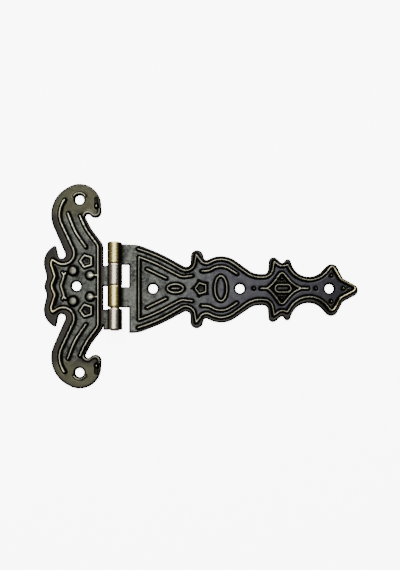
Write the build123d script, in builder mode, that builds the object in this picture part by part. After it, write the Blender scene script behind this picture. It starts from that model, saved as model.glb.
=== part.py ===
from build123d import *
import os
from math import acos, asin, atan2, cos, degrees, hypot, pi, radians, sin

# Ornamental strap T-hinge: a cross plate, a strap leaf and the pin that joins them.
# Millimetres. The leaves' flat backs lie on z = 0, the pin runs along Y above the origin,
# the strap points along +X and the decorated face looks up, along +Z.

# Driving dimensions.
STRAP_LENGTH = 115.3        # pin axis to the strap's tip
CROSS_HEIGHT = 97.7         # over the cross plate's two curls
CROSS_OFFSET = 1.2          # cross plate's centre line above the strap's
SHEET = 1.2                 # steel sheet thickness
PIN_D = 4.4
HOLE_D = 4.2                # screw holes
BLANK_SKEW = -0.5           # degrees the strap's cut edge is turned against its pressing

# Knuckles, rolled from the sheet.
PIN_CLEARANCE = 0.05        # radial, between the pin and the strap's knuckles
BORE_R = PIN_D / 2 + PIN_CLEARANCE
KNUCKLE_R = BORE_R + SHEET
PIN_Z = KNUCKLE_R           # the roll starts level with the flat back
TONGUE = 2.55               # free length of the tongue between a knuckle and its leaf
TONGUE_ROOT = 2 * SHEET     # overlap of the tongue with the leaf's flat
PLATE_EDGE = KNUCKLE_R + TONGUE     # each leaf's flat starts this far from the pin axis
SEAM_ANGLE = -36            # where the rolled end stops, just above the tongue

# Each leaf's pattern is drawn at one size and keeps its proportions at any other. It is
# scaled from the leaf's flat edge, which stays at PLATE_EDGE.
DRAWN_EDGE = 6.0
STRAP_SCALE = (STRAP_LENGTH - PLATE_EDGE) / (115.3 - DRAWN_EDGE)
CROSS_SCALE = CROSS_HEIGHT / 97.7
STRAP_TOP = 21.1 * STRAP_SCALE      # half the strap's width, at the knuckles
CROSS_ROOT = 20.85 * CROSS_SCALE    # half the height of the cross plate's straight edge

# Knuckles and pin along the pin axis.
KNUCKLE_GAP = 0.4           # between neighbouring knuckles
END_GAP = 0.95              # the wider gap, above the lowest knuckle
BARREL = STRAP_TOP + CROSS_ROOT - CROSS_OFFSET
KNUCKLE_LENGTH = (BARREL - 2 * KNUCKLE_GAP - END_GAP) / 4
PIN_PROUD = 0.5             # pin end beyond the lowest knuckle
PIN_ROUND = 0.8             # rounding of the pin's ends

# Pressed ornament.
BEAD_R = 1.0                # half-round bead
BEAD_Z = SHEET - 0.1        # height of a bead's centre line
BEHIND_BEAD = 0.1           # least height of a bead above the flat back
FINE_R = 0.55               # thin bead and small dot
BOSS_HEIGHT = 1.1           # round bosses on the cross plate

# A shape is a list of rounds (x, y, radius), passed in clockwise order as a belt passes
# pulleys: a positive radius bulges outwards, a negative one is a bay, zero is a corner.
# Upper halves only; each is mirrored about its own centre line.
STRAP_OUTLINE = [
    (0, 21.1, 0),               # inner corner, beyond the flat's edge
    (7.8, 6.7, 14.4),           # shoulder
    (-10.05, -51.4, 75),
    (33.3, 12.8, -2.1),         # first bay
    (38.5, 15.6, 3.05),         # ear
    (43.0, 15.2, -1.2),
    (50.0, 3.9, 12),            # belly
    (68.5, 16.4, -8.85),        # first neck
    (70.2, 9.75, -2.2),
    (74.9, 13.3, 2.2),          # larger horn
    (79.1, 13.9, -1.05),
    (81.7, 13.1, 1.55),         # smaller horn
    (91.8, 14.95, -8.6),        # second neck
    (102.6, 9.1, 3.3),          # side leaf
    (109.2, 6.8, -1.5),
    (112.3, 0, 3.0),            # tip, on the centre line
]
CROSS_OUTLINE = [
    (-30.7, 0, 3.64),           # middle of the far edge, on the centre line
    (-35.05, 4.23, -1.87),
    (-25.7, 11.23, 8.86),       # wing
    (-29.35, 18.47, 0.89),
    (-25.95, 15.02, -1.72),     # slot between wing and arm
    (-16.3, 34.08, 14.77),      # arm and curl
    (-17.4, 38.61, 10.24),
    (-9.9, 35.55, 2.95),
    (-13.4, 33.04, -1.18),
    (4.7, 37.92, -19.5),        # inner side of the arm
    (-12.0, 17.92, 5.91),
]

# Beads on the strap.
STRAP_BORDER = [
    (10.5, 18.7, 0),
    (-10.05, -51.4, 73),
    (33.3, 12.8, -4.3),
    (38.2, 16.1, 0),
    (43.05, 15.2, -3.4),
    (50.0, 3.9, 9.85),
    (68.5, 16.4, -11.1),
    (70.2, 9.75, -4.4),
    (75.2, 12.7, 0),
    (79.1, 13.9, -3.3),
    (81.5, 11.2, 0),
    (91.9, 14.7, -10.7),
    (102.6, 9.2, 1.15),
    (109.2, 6.8, -3.3),
    (112.3, 0, 1.3),
]
STRAP_FRAME = [
    (11.0, 14.9, 0),
    (-10.05, -51.4, 69.5),
    (32.2, 10.1, -4.6),
    (36.3, 6.0, 0),
]
SIDE_BAR = [(14.7, 9.25, 0), (23.9, 4.8, 0)]
BELLY_BEAD = [(40.8, 8.2, 0), (43.0, 12.6, -4.3), (49.9, 2.6, 7.8), (57.6, 6.9, 0)]
DIAMOND = [
    (72.0, 0, 0),
    (63.6, 12.45, -14.9),
    (78.9, 5.9, 1.4),
    (92.2, 12.26, -12.9),
    (88.1, 0, 0),
]
DIAMOND_TAILS = [(68.8, 0, 0), (72.0, 0, 0)], [(88.1, 0, 0), (90.5, 0, 0)]
SMALL_OVAL = (28.3, 3.75, 2.0)      # centre x, half length, half height
TALL_OVAL = (49.9, 2.85, 5.9)
SLIM_OVAL = (79.4, 3.6, 1.9)
DASHES = (26.6, 30.1), (40.1, 41.4), (77.6, 81.0)
STRAP_STAR = (40.5, 0, 2.75)        # centre and radius of a five-sided ring
STRAP_DOTS = [(65.7, 0, 0), (95.0, 0, 0), (108.2, 0, 0)]
STRAP_DOT_PAIRS = [(78.9, 4.85, 0), (102.4, 6.15, 0)]
STRAP_HOLES = [17.6, 59.0, 101.6]

# Beads on the cross plate.
CROSS_BORDER = [
    (-27.5, 0, 2.95),
    (-30.45, 4.53, -1.48),
    (-27.75, 10.44, 2.95),
    (-30.1, 12.41, 0),
    (-25.0, 15.46, -5.22),
    (-15.9, 33.88, 10.83),
    (-24.4, 40.87, 0),
]
INNER_BORDER = [(-17.1, 33.29, 0), (4.7, 37.92, -21.77), (-12.1, 17.92, 3.64)]
ARM_BEAD = [(-14.3, 18.42, 0), (6.8, 39.89, 29.55), (-22.8, 34.57, 0)]
WAVE_BEAD = [(-22.9, 0, 2.95), (-24.1, 5.71, 0)]
CROSS_STAR = (-14.0, 11.72, 2.95)
OUTER_BOSS = (-20.4, 7.24, 2.27)    # centre and radius
INNER_BOSS = (-12.3, 5.12, 2.07)
BOSS_NECK_END = -8.4
DIAGONAL = [(-19.0, 10.64, 0), (-15.8, 6.8, 0)]
EYE_BEAD = [(-9.1, 36.24, 0), (-9.4, 38.21, 0)]
CROSS_HOLES = [(-17.4, 41.17, 0), (-18.9, 0, 0)]


def sized(rounds, side, scale):
    """Scale a drawn shape from its leaf's flat edge; side is +1 for the strap's side."""
    edge = side * PLATE_EDGE
    drawn_edge = side * DRAWN_EDGE
    return [(edge + (x - drawn_edge) * scale, y * scale, r * scale) for x, y, r in rounds]


def for_strap(rounds):
    return sized(rounds, 1, STRAP_SCALE)


def for_cross(rounds):
    """Sized for the cross plate and moved to its own centre line."""
    return [(x, y + CROSS_OFFSET, r) for x, y, r in sized(rounds, -1, CROSS_SCALE)]


def lower(rounds):
    """The mirror image of an upper half, in the order that carries on clockwise."""
    return [(x, -y, r) for x, y, r in reversed(rounds)]


def turned(rounds, angle):
    """Turn a shape about the origin."""
    c = cos(radians(angle))
    s = sin(radians(angle))
    return [(x * c - y * s, x * s + y * c, r) for x, y, r in rounds]


def star(x, y, radius):
    """A five-sided ring that points along -X, with sharp corners."""
    corners = [pi - k * 2 * pi / 5 for k in range(6)]
    return [(x + radius * cos(a), y + radius * sin(a), 0) for a in corners]


def oval(x, half_length, half_height):
    """A long ring with round ends, closed at the middle of its upper side."""
    reach = half_length - half_height
    seam = (x, half_height, 0)
    return [seam, (x + reach, 0, half_height), (x - reach, 0, half_height), seam]


def belt(rounds, closed=False):
    """Draw the line that passes the rounds, as tangent lines and arcs."""
    count = len(rounds)
    arrive = [rounds[0][:2]] * count
    leave = [rounds[-1][:2]] * count
    for i in range(count if closed else count - 1):
        xa, ya, ra = rounds[i]
        xb, yb, rb = rounds[(i + 1) % count]
        span = hypot(xb - xa, yb - ya)
        lean = max(-1, min(1, (ra - rb) / span))
        normal = atan2(yb - ya, xb - xa) + acos(lean)
        leave[i] = (xa + ra * cos(normal), ya + ra * sin(normal))
        arrive[(i + 1) % count] = (xb + rb * cos(normal), yb + rb * sin(normal))
    for i, (x, y, r) in enumerate(rounds):
        if r != 0:
            start = atan2(arrive[i][1] - y, arrive[i][0] - x)
            end = atan2(leave[i][1] - y, leave[i][0] - x)
            turn = (start - end) % (2 * pi) if r > 0 else -((end - start) % (2 * pi))
            middle = start - turn / 2
            peak = (x + abs(r) * cos(middle), y + abs(r) * sin(middle))
            ThreePointArc(arrive[i], peak, leave[i])
        if i < count - 1 or closed:
            Line(leave[i], arrive[(i + 1) % count])


def bead_height(radius):
    """Height of a bead's centre line, which keeps the bead off the flat back."""
    return max(BEAD_Z, radius + BEHIND_BEAD)


def bead(rounds, radius):
    """Raise a round bead along a belt. It is split, and rounded, at ends and sharp corners."""
    z = bead_height(radius)
    corners = [i for i, place in enumerate(rounds) if place[2] == 0]
    for first, last in zip(corners, corners[1:]):
        with BuildLine(Plane.XY.offset(z)) as path:
            belt(rounds[first:last + 1])
        wire = path.wire()
        with BuildSketch(Plane(origin=wire @ 0, z_dir=wire % 0)) as section:
            Circle(radius)
        sweep(section.sketch, path=wire)
    with Locations([(rounds[i][0], rounds[i][1], z) for i in corners]):
        Sphere(radius)


def strap_bead(rounds, radius=BEAD_R):
    bead(for_strap(rounds), radius * STRAP_SCALE)


def cross_bead(rounds, radius=BEAD_R):
    bead(for_cross(rounds), radius * CROSS_SCALE)


def ring_bead(x, half_length, half_height):
    """An elliptical ring bead on the strap's centre line."""
    centre = for_strap([(x, 0, 0)])[0][:2]
    half_sizes = (half_length * STRAP_SCALE, half_height * STRAP_SCALE)
    radius = BEAD_R * STRAP_SCALE
    with BuildLine(Plane.XY.offset(bead_height(radius))) as path:
        EllipticalCenterArc(centre, *half_sizes, start_angle=0, arc_size=360)
    wire = path.wire()
    with BuildSketch(Plane(origin=wire @ 0, z_dir=wire % 0)) as section:
        Circle(radius)
    sweep(section.sketch, path=wire)


def dots(places):
    with Locations([(place[0], place[1], SHEET) for place in places]):
        Sphere(FINE_R)


def boss(x, y, radius):
    """A low round boss that rises from the sheet's face."""
    ball = (radius**2 + BOSS_HEIGHT**2) / (2 * BOSS_HEIGHT)
    centre = SHEET + BOSS_HEIGHT - ball
    lowest = degrees(asin((SHEET / 2 - centre) / ball))
    with Locations((x, y, centre)):
        Sphere(ball, arc_size1=lowest, arc_size2=90, align=None)


def knuckles(spans, side, bore_r):
    """Roll knuckles about the pin; side is +1 for tongues on the +X side, -1 for -X."""
    seam = radians(SEAM_ANGLE)
    reach = 2 * KNUCKLE_R
    corner = (side * reach * cos(seam), PIN_Z + reach * sin(seam))
    tongue = PLATE_EDGE + TONGUE_ROOT
    for low, high in spans:
        with BuildSketch(Plane.XZ.offset(-high)) as profile:
            with Locations((0, PIN_Z)):
                Circle(KNUCKLE_R)
            with BuildLine():
                Polyline((0, PIN_Z), corner, (side * reach, -reach), (0, -reach), close=True)
            make_face(mode=Mode.SUBTRACT)
            with Locations((side * tongue / 2, SHEET / 2)):
                Rectangle(tongue, SHEET)
            with Locations((0, PIN_Z)):
                Circle(bore_r, mode=Mode.SUBTRACT)
        extrude(profile.sketch, amount=high - low)


def drill(places):
    with Locations([(place[0], place[1], SHEET / 2) for place in places]):
        Cylinder(HOLE_D / 2, 4 * SHEET, mode=Mode.SUBTRACT)


# Knuckle spans along the pin, from the top: strap, cross plate, strap, cross plate.
knuckle_tops = [
    STRAP_TOP,
    STRAP_TOP - KNUCKLE_LENGTH - KNUCKLE_GAP,
    STRAP_TOP - 2 * (KNUCKLE_LENGTH + KNUCKLE_GAP),
    STRAP_TOP - 3 * KNUCKLE_LENGTH - 2 * KNUCKLE_GAP - END_GAP,
]
knuckle_spans = [(high - KNUCKLE_LENGTH, high) for high in knuckle_tops]
strap_spans = knuckle_spans[0::2]
cross_spans = knuckle_spans[1::2]

# Strap leaf.
with BuildPart() as strap_leaf:
    with BuildSketch(Plane.XY):
        with BuildLine():
            whole = for_strap(STRAP_OUTLINE + lower(STRAP_OUTLINE[:-1]))
            belt(turned(whole, BLANK_SKEW), closed=True)
        make_face()
        with Locations((PLATE_EDGE - STRAP_TOP, 0)):
            Rectangle(2 * STRAP_TOP, 4 * STRAP_TOP, mode=Mode.SUBTRACT)
    extrude(amount=SHEET)
    knuckles(strap_spans, 1, BORE_R)
    strap_bead(STRAP_BORDER + lower(STRAP_BORDER[:-1]))
    strap_bead(lower(STRAP_FRAME) + STRAP_FRAME)
    for upper in (SIDE_BAR, BELLY_BEAD, DIAMOND):
        strap_bead(upper)
        strap_bead(lower(upper))
    for tail in DIAMOND_TAILS:
        strap_bead(tail)
    ring_bead(*SMALL_OVAL)
    ring_bead(*TALL_OVAL)
    strap_bead(oval(*SLIM_OVAL))
    strap_bead(star(*STRAP_STAR))
    for low, high in DASHES:
        strap_bead([(low, 0, 0), (high, 0, 0)], FINE_R)
    dots(for_strap(STRAP_DOTS + STRAP_DOT_PAIRS + lower(STRAP_DOT_PAIRS)))
    drill(for_strap([(x, 0, 0) for x in STRAP_HOLES]))
strap_leaf.part.label = "strap_leaf"

# Cross plate.
with BuildPart() as cross_plate:
    with BuildSketch(Plane.XY):
        with BuildLine():
            belt(for_cross(CROSS_OUTLINE + lower(CROSS_OUTLINE[1:])), closed=True)
        make_face()
    extrude(amount=SHEET)
    knuckles(cross_spans, -1, PIN_D / 2)
    cross_bead(lower(CROSS_BORDER[1:]) + CROSS_BORDER)
    cross_bead(INNER_BORDER + lower(INNER_BORDER))
    cross_bead(lower(WAVE_BEAD[1:]) + WAVE_BEAD)
    neck = [INNER_BOSS[:2] + (0,), (BOSS_NECK_END, INNER_BOSS[1], 0)]
    for half in (list, lower):
        cross_bead(half(ARM_BEAD))
        cross_bead(half(star(*CROSS_STAR)))
        cross_bead(half(neck))
        cross_bead(half(DIAGONAL), FINE_R)
        cross_bead(half(EYE_BEAD), FINE_R)
        for x, y, radius in for_cross(half([OUTER_BOSS, INNER_BOSS])):
            boss(x, y, radius)
    dots(for_cross([CROSS_STAR] + lower([CROSS_STAR])))
    drill(for_cross(CROSS_HOLES + lower(CROSS_HOLES[:1])))
cross_plate.part.label = "cross_plate"

# Hinge pin, gripped by the cross plate's knuckles.
with BuildPart() as hinge_pin:
    with BuildSketch(Plane.XZ.offset(-STRAP_TOP)):
        with Locations((0, PIN_Z)):
            Circle(PIN_D / 2)
    extrude(amount=BARREL + PIN_PROUD)
    fillet(hinge_pin.edges().filter_by(GeomType.CIRCLE), PIN_ROUND)
hinge_pin.part.label = "hinge_pin"

os.makedirs("parts", exist_ok=True)
for sub_part in (strap_leaf, cross_plate, hinge_pin):
    export_step(sub_part.part, f"parts/{sub_part.part.label}.step")
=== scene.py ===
from math import acos, atan2, ceil, cos, hypot, pi, radians, sin

import bmesh
import bpy
import numpy as np
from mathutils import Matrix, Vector
from mathutils.geometry import delaunay_2d_cdt
from mathutils.kdtree import KDTree


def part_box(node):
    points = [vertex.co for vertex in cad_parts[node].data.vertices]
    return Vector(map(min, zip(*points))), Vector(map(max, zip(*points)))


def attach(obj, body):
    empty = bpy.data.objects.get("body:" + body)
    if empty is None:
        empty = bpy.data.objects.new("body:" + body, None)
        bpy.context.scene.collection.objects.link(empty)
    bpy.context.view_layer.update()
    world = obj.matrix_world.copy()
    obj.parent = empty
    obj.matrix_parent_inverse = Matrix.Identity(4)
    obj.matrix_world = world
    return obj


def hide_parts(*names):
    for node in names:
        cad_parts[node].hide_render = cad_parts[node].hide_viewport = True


# Ornamental strap T-hinge: two pressed and rolled leaves in antique bronze, and their pin.
# Shapes are drawn in millimetres, x from the pin's axis and y from each leaf's centre line.
# Finished pieces are in metres.

bl_info = {
    "name": "Strap T-Hinge",
    "version": (1, 0, 0),
    "blender": (4, 5, 0),
    "location": "View3D > Sidebar > Hinge",
    "description": "Builds an ornamental strap T-hinge around its CAD frame",
    "category": "Object",
}

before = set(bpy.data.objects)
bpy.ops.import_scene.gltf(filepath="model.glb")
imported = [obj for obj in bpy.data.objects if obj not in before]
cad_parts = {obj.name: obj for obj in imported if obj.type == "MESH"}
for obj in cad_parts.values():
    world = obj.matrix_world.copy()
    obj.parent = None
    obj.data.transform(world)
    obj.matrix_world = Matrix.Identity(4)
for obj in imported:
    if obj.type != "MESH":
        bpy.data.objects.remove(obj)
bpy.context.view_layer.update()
MM = 0.001

# Sizes taken from the frame.
STRAP_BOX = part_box("strap_leaf")
CROSS_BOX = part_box("cross_plate")
PIN_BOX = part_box("hinge_pin")
PIN_Z = (PIN_BOX[0].z + PIN_BOX[1].z) / 2 / MM
PIN_R = (PIN_BOX[1].z - PIN_BOX[0].z) / 2 / MM
KNUCKLE_R = STRAP_BOX[1].z / 2 / MM
CROSS_OFFSET = (CROSS_BOX[1].y + CROSS_BOX[0].y) / 2 / MM

SHEET = 1.2                     # thickness of both leaves
TONGUE = 2.55                   # free length of a tongue between its knuckle and its leaf
HOLE_R = 2.1                    # screw holes

# Each leaf is drawn from its flat edge and scaled to the frame.
DRAWN_EDGE = 6.0                # the drawn leaf's flat starts this far from the pin axis
DRAWN_TIP = 115.3               # reach of the drawn strap
DRAWN_HEIGHT = 97.7             # height of the drawn cross plate
PLATE_EDGE = KNUCKLE_R + TONGUE
CUT_SETBACK = 0.12
CUT_EDGE = PLATE_EDGE + CUT_SETBACK     # the straight cut between a leaf and its tongues
STRAP_SCALE = (STRAP_BOX[1].x / MM - PLATE_EDGE) / (DRAWN_TIP - DRAWN_EDGE)
CROSS_SCALE = (CROSS_BOX[1].y - CROSS_BOX[0].y) / MM / DRAWN_HEIGHT
BLANK_SKEW = -0.35              # degrees between the strap's cut edge and its pressing

# Rolled knuckles: spans along the pin from the top, the strap's and the cross plate's in turn.
PIN_PROUD = 0.5                 # how far the pin stands out below the lowest knuckle
BARREL_TOP = PIN_BOX[1].y / MM
BARREL_LOW = PIN_BOX[0].y / MM + PIN_PROUD
KNUCKLE_GAP = 0.4
END_GAP = 0.95                  # the wider gap above the lowest knuckle
KNUCKLE_LENGTH = (BARREL_TOP - BARREL_LOW - 2 * KNUCKLE_GAP - END_GAP) / 4
KNUCKLE_TOPS = [
    BARREL_TOP,
    BARREL_TOP - KNUCKLE_LENGTH - KNUCKLE_GAP,
    BARREL_TOP - 2 * (KNUCKLE_LENGTH + KNUCKLE_GAP),
    BARREL_LOW + KNUCKLE_LENGTH,
]
KNUCKLE_SPANS = [(top - KNUCKLE_LENGTH, top) for top in KNUCKLE_TOPS]
ROLL_TURN = radians(306)        # from under the pin round to the seam
ROLL_LENGTH = KNUCKLE_R * ROLL_TURN     # along the outside of the roll

# Spacing of points along lines and in the leaves' meshes.
GUIDE_STEP = 0.06               # points that stand for a guide line
OUTLINE_STEP = 0.1              # points that stand for the outline
SHORT_RUN = 0.05                # runs under this share of a step are left out of a line
SHORT_EDGE = 0.3                # and edges under this share out of the tongues' outline
EDGE_CLEARANCE = 0.55           # inner points keep this share of the pitch from an edge

# A shape is a list of rounds (x, y, radius), passed in clockwise order as a belt passes
# pulleys: a positive radius bulges outwards, a negative one is a bay, zero is a corner.
# Upper halves only; each is mirrored about its own centre line.
STRAP_OUTLINE = [
    (0, 21.1, 0),               # inner corner, beyond the flat's edge
    (7.8, 6.7, 14.4),           # shoulder
    (-10.05, -51.4, 75),        # long upper edge
    (33.3, 12.8, -2.1),         # first bay
    (38.5, 15.6, 3.05),         # ear
    (43.0, 15.2, -1.2),         # behind the ear
    (50.0, 3.9, 12),            # belly
    (68.5, 16.4, -8.85),        # first neck
    (70.2, 9.75, -2.2),         # foot of the larger horn
    (74.9, 13.3, 2.2),          # larger horn
    (79.1, 13.9, -1.05),        # notch between the horns
    (81.7, 13.1, 1.55),         # smaller horn
    (91.8, 14.95, -8.6),        # second neck
    (102.6, 9.1, 3.3),          # side leaf
    (109.2, 6.8, -1.5),         # between side leaf and tip
    (112.3, 0, 3.0),            # tip, on the centre line
]
CROSS_OUTLINE = [
    (-30.7, 0, 3.64),           # middle of the far edge, on the centre line
    (-35.05, 4.23, -1.87),      # notch beside the wing
    (-25.7, 11.23, 8.86),       # wing
    (-29.35, 18.47, 0.89),      # wing's point
    (-25.95, 15.02, -1.72),     # slot between wing and arm
    (-16.3, 34.08, 14.77),      # arm and curl
    (-17.4, 38.61, 10.24),      # curl, round its hole
    (-9.9, 35.55, 2.95),        # curl's nose
    (-13.4, 33.04, -1.18),      # notch under the nose
    (4.7, 37.92, -19.5),        # inner side of the arm
    (-12.0, 17.92, 5.91),       # corner at the flat edge
]

# Ridges pressed into the strap.
STRAP_BORDER = [
    (10.5, 18.7, 0),
    (-10.05, -51.4, 73),
    (33.3, 12.8, -4.3),
    (38.2, 16.1, 0),
    (43.05, 15.2, -3.4),
    (50.0, 3.9, 9.85),
    (68.5, 16.4, -11.1),
    (70.2, 9.75, -4.4),
    (75.2, 12.7, 0),
    (79.1, 13.9, -3.3),
    (81.5, 11.2, 0),
    (91.9, 14.7, -10.7),
    (102.6, 9.2, 1.15),
    (109.2, 6.8, -3.3),
    (112.3, 0, 1.3),
]
STRAP_FRAME = [
    (11.0, 14.9, 0),
    (-10.05, -51.4, 69.5),
    (32.2, 10.1, -4.6),
    (36.3, 6.0, 0),
]
SIDE_BAR = [(14.7, 9.25, 0), (23.9, 4.8, 0)]
BELLY_RIDGE = [(40.8, 8.2, 0), (43.0, 12.6, -4.3), (49.9, 2.6, 7.8), (57.6, 6.9, 0)]
DIAMOND = [
    (72.0, 0, 0),
    (63.6, 12.45, -14.9),
    (78.9, 5.9, 1.4),
    (92.2, 12.26, -12.9),
    (88.1, 0, 0),
]
DIAMOND_TAILS = ([(69.0, 0, 0), (72.0, 0, 0)], [(88.1, 0, 0), (91.4, 0, 0)])
SMALL_OVAL = (28.3, 3.75, 2.0)      # centre x, half length, half height
TALL_OVAL = (49.9, 2.85, 5.9)
SLIM_OVAL = (79.4, 3.75, 1.8)
STRAP_DASH = (26.6, 30.1)
STRAP_STAR = (40.5, 0, 2.75)        # centre and radius of a five-sided ring
STRAP_DOTS = [(65.6, 0), (95.1, 0), (108.2, 0)]
STRAP_DOT_PAIRS = [(78.9, 4.8), (102.4, 6.15)]
SMALL_DOTS = [(77.6, 3.35), (80.4, 3.35), (110.4, 0)]
# Loops toned as dark inside as the rim.
TIP_LOBE = [(106.7, -2.0, 0), (106.7, 2.0, 0), (112.6, 0, 0), (106.7, -2.0, 0)]
SIDE_LOBE = [(100.0, 5.4, 0), (102.7, 9.2, 0), (105.7, 5.2, 0), (100.0, 5.4, 0)]
# Groove round the star.
STAR_GROOVE = [
    (35.9, 0, 0),
    (38.2, 1.7, 0),
    (39.2, 4.3, 0),
    (41.2, 3.2, 0),
    (43.9, 2.8, 0),
    (43.3, 0, 0),
]
STRAP_HOLES = [(17.6, 0), (59.0, 0), (101.6, 0)]
NO_CURLS = 60                       # beyond the strap's width, since it has none

# Ridges pressed into the cross plate.
CROSS_BORDER = [
    (-27.5, 0, 2.95),
    (-30.45, 4.53, -1.48),
    (-27.75, 10.44, 2.95),
    (-30.1, 12.41, 0),
    (-25.0, 15.46, -5.22),
    (-15.9, 33.88, 10.83),
    (-24.4, 40.87, 0),
]
INNER_BORDER = [(-17.1, 33.29, 0), (4.7, 37.92, -21.77), (-12.1, 17.92, 3.64)]
ARM_RIDGE = [(-14.3, 18.42, 0), (6.8, 39.89, 29.55), (-22.8, 34.57, 0)]
WAVE_RIDGE = [(-23.9, 0, 2.05), (-26.1, 4.5, -1.45), (-25.4, 6.3, 0)]
WAVE_GROOVE = [(-27.5, 0, 1.55), (-30.45, 4.53, -2.88), (-28.9, 9.4, 0)]
WAVE_FORK = [(-24.75, 5.0, 0), (-23.8, 6.1, 0)]
CROSS_STAR = (-14.0, 11.72, 2.95)
OUTER_BOSS = (-20.4, 7.24, 2.27)    # centre and radius
INNER_BOSS = (-12.3, 5.12, 2.07)
BOSS_NECK_END = -8.4
EYE_NUB = [(-9.2, 37.6, 0), (-9.2, 38.2, 0)]
EYE_HOLLOW = [(-9.3, 37.8, 0), (-9.4, 41.6, 0)]
EYE_HALF_WIDTH = 1.15
CURL_LIP = [(-7.8, 36.5, 0), (-9.9, 35.55, 2.0), (-13.4, 33.04, -2.1), (-15.6, 33.4, 0)]
HOLE_ARC = [(-20.13, 42.75, 0), (-17.4, 41.17, 3.1), (-14.67, 42.75, 0)]
CROSS_HOLES = [(-17.4, 41.17), (-18.9, 0), (-17.4, -41.17)]
CROSS_CURLS = 33                    # the curls start this far from the middle
STAR_HALF_WIDTH = 1.3               # of the hollow inside a star

# Cross-section of the pressing. A pair of distances is where something starts and ends.
CREST_FADE = (0.12, 0.74)           # a ridge falls away from its crest
FINE_FADE = (0.1, 0.6)              # and a fine ridge from its own
GROOVE_START = (0.35, 0.7)          # the groove beside a ridge deepens
GROOVE_FADE = (1.0, 1.45)           # and comes up again
FINE_GROOVE = (0.68, 0.24, 0.6)     # place, width and share of the groove by a fine ridge
GROOVE_WIDTH = 0.34                 # of a groove with no ridge
LIP_WIDTH = 0.8                     # of the soft rise round a curl's nose and a boss's neck
MOAT = (0.3, 0.38)                  # place and width of the groove round a boss
BACK_WIDTH = 0.95                   # of the hollow behind a ridge
HOLLOW_FLOOR = 0.45                 # level share of a hollow's half width
EDGE_ROUND = 1.0                    # width of the band that is rolled down at a cut edge
TONGUE_ROUND = 0.5                  # the same on the tongues
BACK_ROUND = 0.45                   # the same on the back
ROUND_BLEND = 1.5                   # the leaf's rounding takes over from the tongues' here

# Heights, as shares of a ridge's height.
FINE_HEIGHT = 0.5
LIP_HEIGHT = 0.6
DOME_HEIGHT = 1.1
DOME_BEHIND = 0.9                   # share of the back's hollow that is behind a boss

# Depths, in millimetres.
HOLLOW_DEPTH = 0.45
TONGUE_DROP = 0.15
BACK_DROP = 0.18

# Bands of colour, as distances, and their strength, as shares.
# The black on a boss's steep lower sides is partly oxide, partly painted shade.
DOME_FLANK_OXIDE_AND_SHADE = (0.45, 0.85)           # a boss's black side fades out between these heights
RIM_BLEND = 0.6                     # the rim's tone comes in over this distance
CURL_BLEND = (3, 6)                 # how far before and past its start a curl's tone comes in
# Painted shade: a dark band inside a curl's outline, laid into the rim's tone.
CURL_SHADE_BAND = (0.4, 2.2)              # dark band round a curl
CURL_SHADE_STRENGTH = 0.7
LOOP_BLEND = 0.7                    # the tone inside a loop comes in over this distance
# Painted shade: a black line along the outline and a black ring round each hole, where the cut
# edge rolls down.
EDGE_SHADE_LINE = (0.25, 0.7)            # black line along the outline
HOLE_SHADE_RING = (0.65, 1.1)            # black ring round a hole
KNUCKLE_FADE = (1.5, 3.2)           # the knuckle's tone fades out along the tongue
# The bright strip along the top of a knuckle is partly worn brass, partly a painted highlight.
WORN_AND_LIT_STRIP = (1.2, 2.7)             # bright strip along the top of a knuckle
FINE_WEAR = 0.75
# A lip's brass is partly relieved brass, partly a painted highlight on its rounded edge.
LIP_WEAR_AND_HIGHLIGHT = 0.7

# What a leaf's mesh tells its material about each point, as shares from 0 to 1.
LAYERS = ("crest", "groove", "rim", "edge", "hollow", "dome", "roll", "barrel", "curl")


def srgb(code):
    """A colour from its sRGB hex code, in linear light."""
    parts = [int(code[i:i + 2], 16) / 255 for i in (1, 3, 5)]
    return [p / 12.92 if p <= 0.04045 else ((p + 0.055) / 1.055) ** 2.4 for p in parts] + [1.0]


class LeafSettings(bpy.types.PropertyGroup):
    """Sizes of the pressing, shared by both leaves."""

    mesh_pitch: bpy.props.FloatProperty(
        name="Mesh pitch",
        description="Distance between neighbouring points of a leaf's mesh",
        default=0.31 * MM, min=0.28 * MM, subtype="DISTANCE", unit="LENGTH")
    ridge_height: bpy.props.FloatProperty(
        name="Ridge height",
        description="Height of a ridge's crest above the leaf's field",
        default=0.75 * MM, subtype="DISTANCE", unit="LENGTH")
    groove_depth: bpy.props.FloatProperty(
        name="Groove depth",
        description="Depth of the grooves along both sides of a ridge",
        default=0.30 * MM, subtype="DISTANCE", unit="LENGTH")
    edge_drop: bpy.props.FloatProperty(
        name="Edge drop",
        description="How far the face is rolled down at the cut edge",
        default=0.55 * MM, subtype="DISTANCE", unit="LENGTH")
    back_hollow: bpy.props.FloatProperty(
        name="Back hollow",
        description="Depth of the soft hollows behind the ridges",
        default=0.50 * MM, subtype="DISTANCE", unit="LENGTH")


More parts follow.
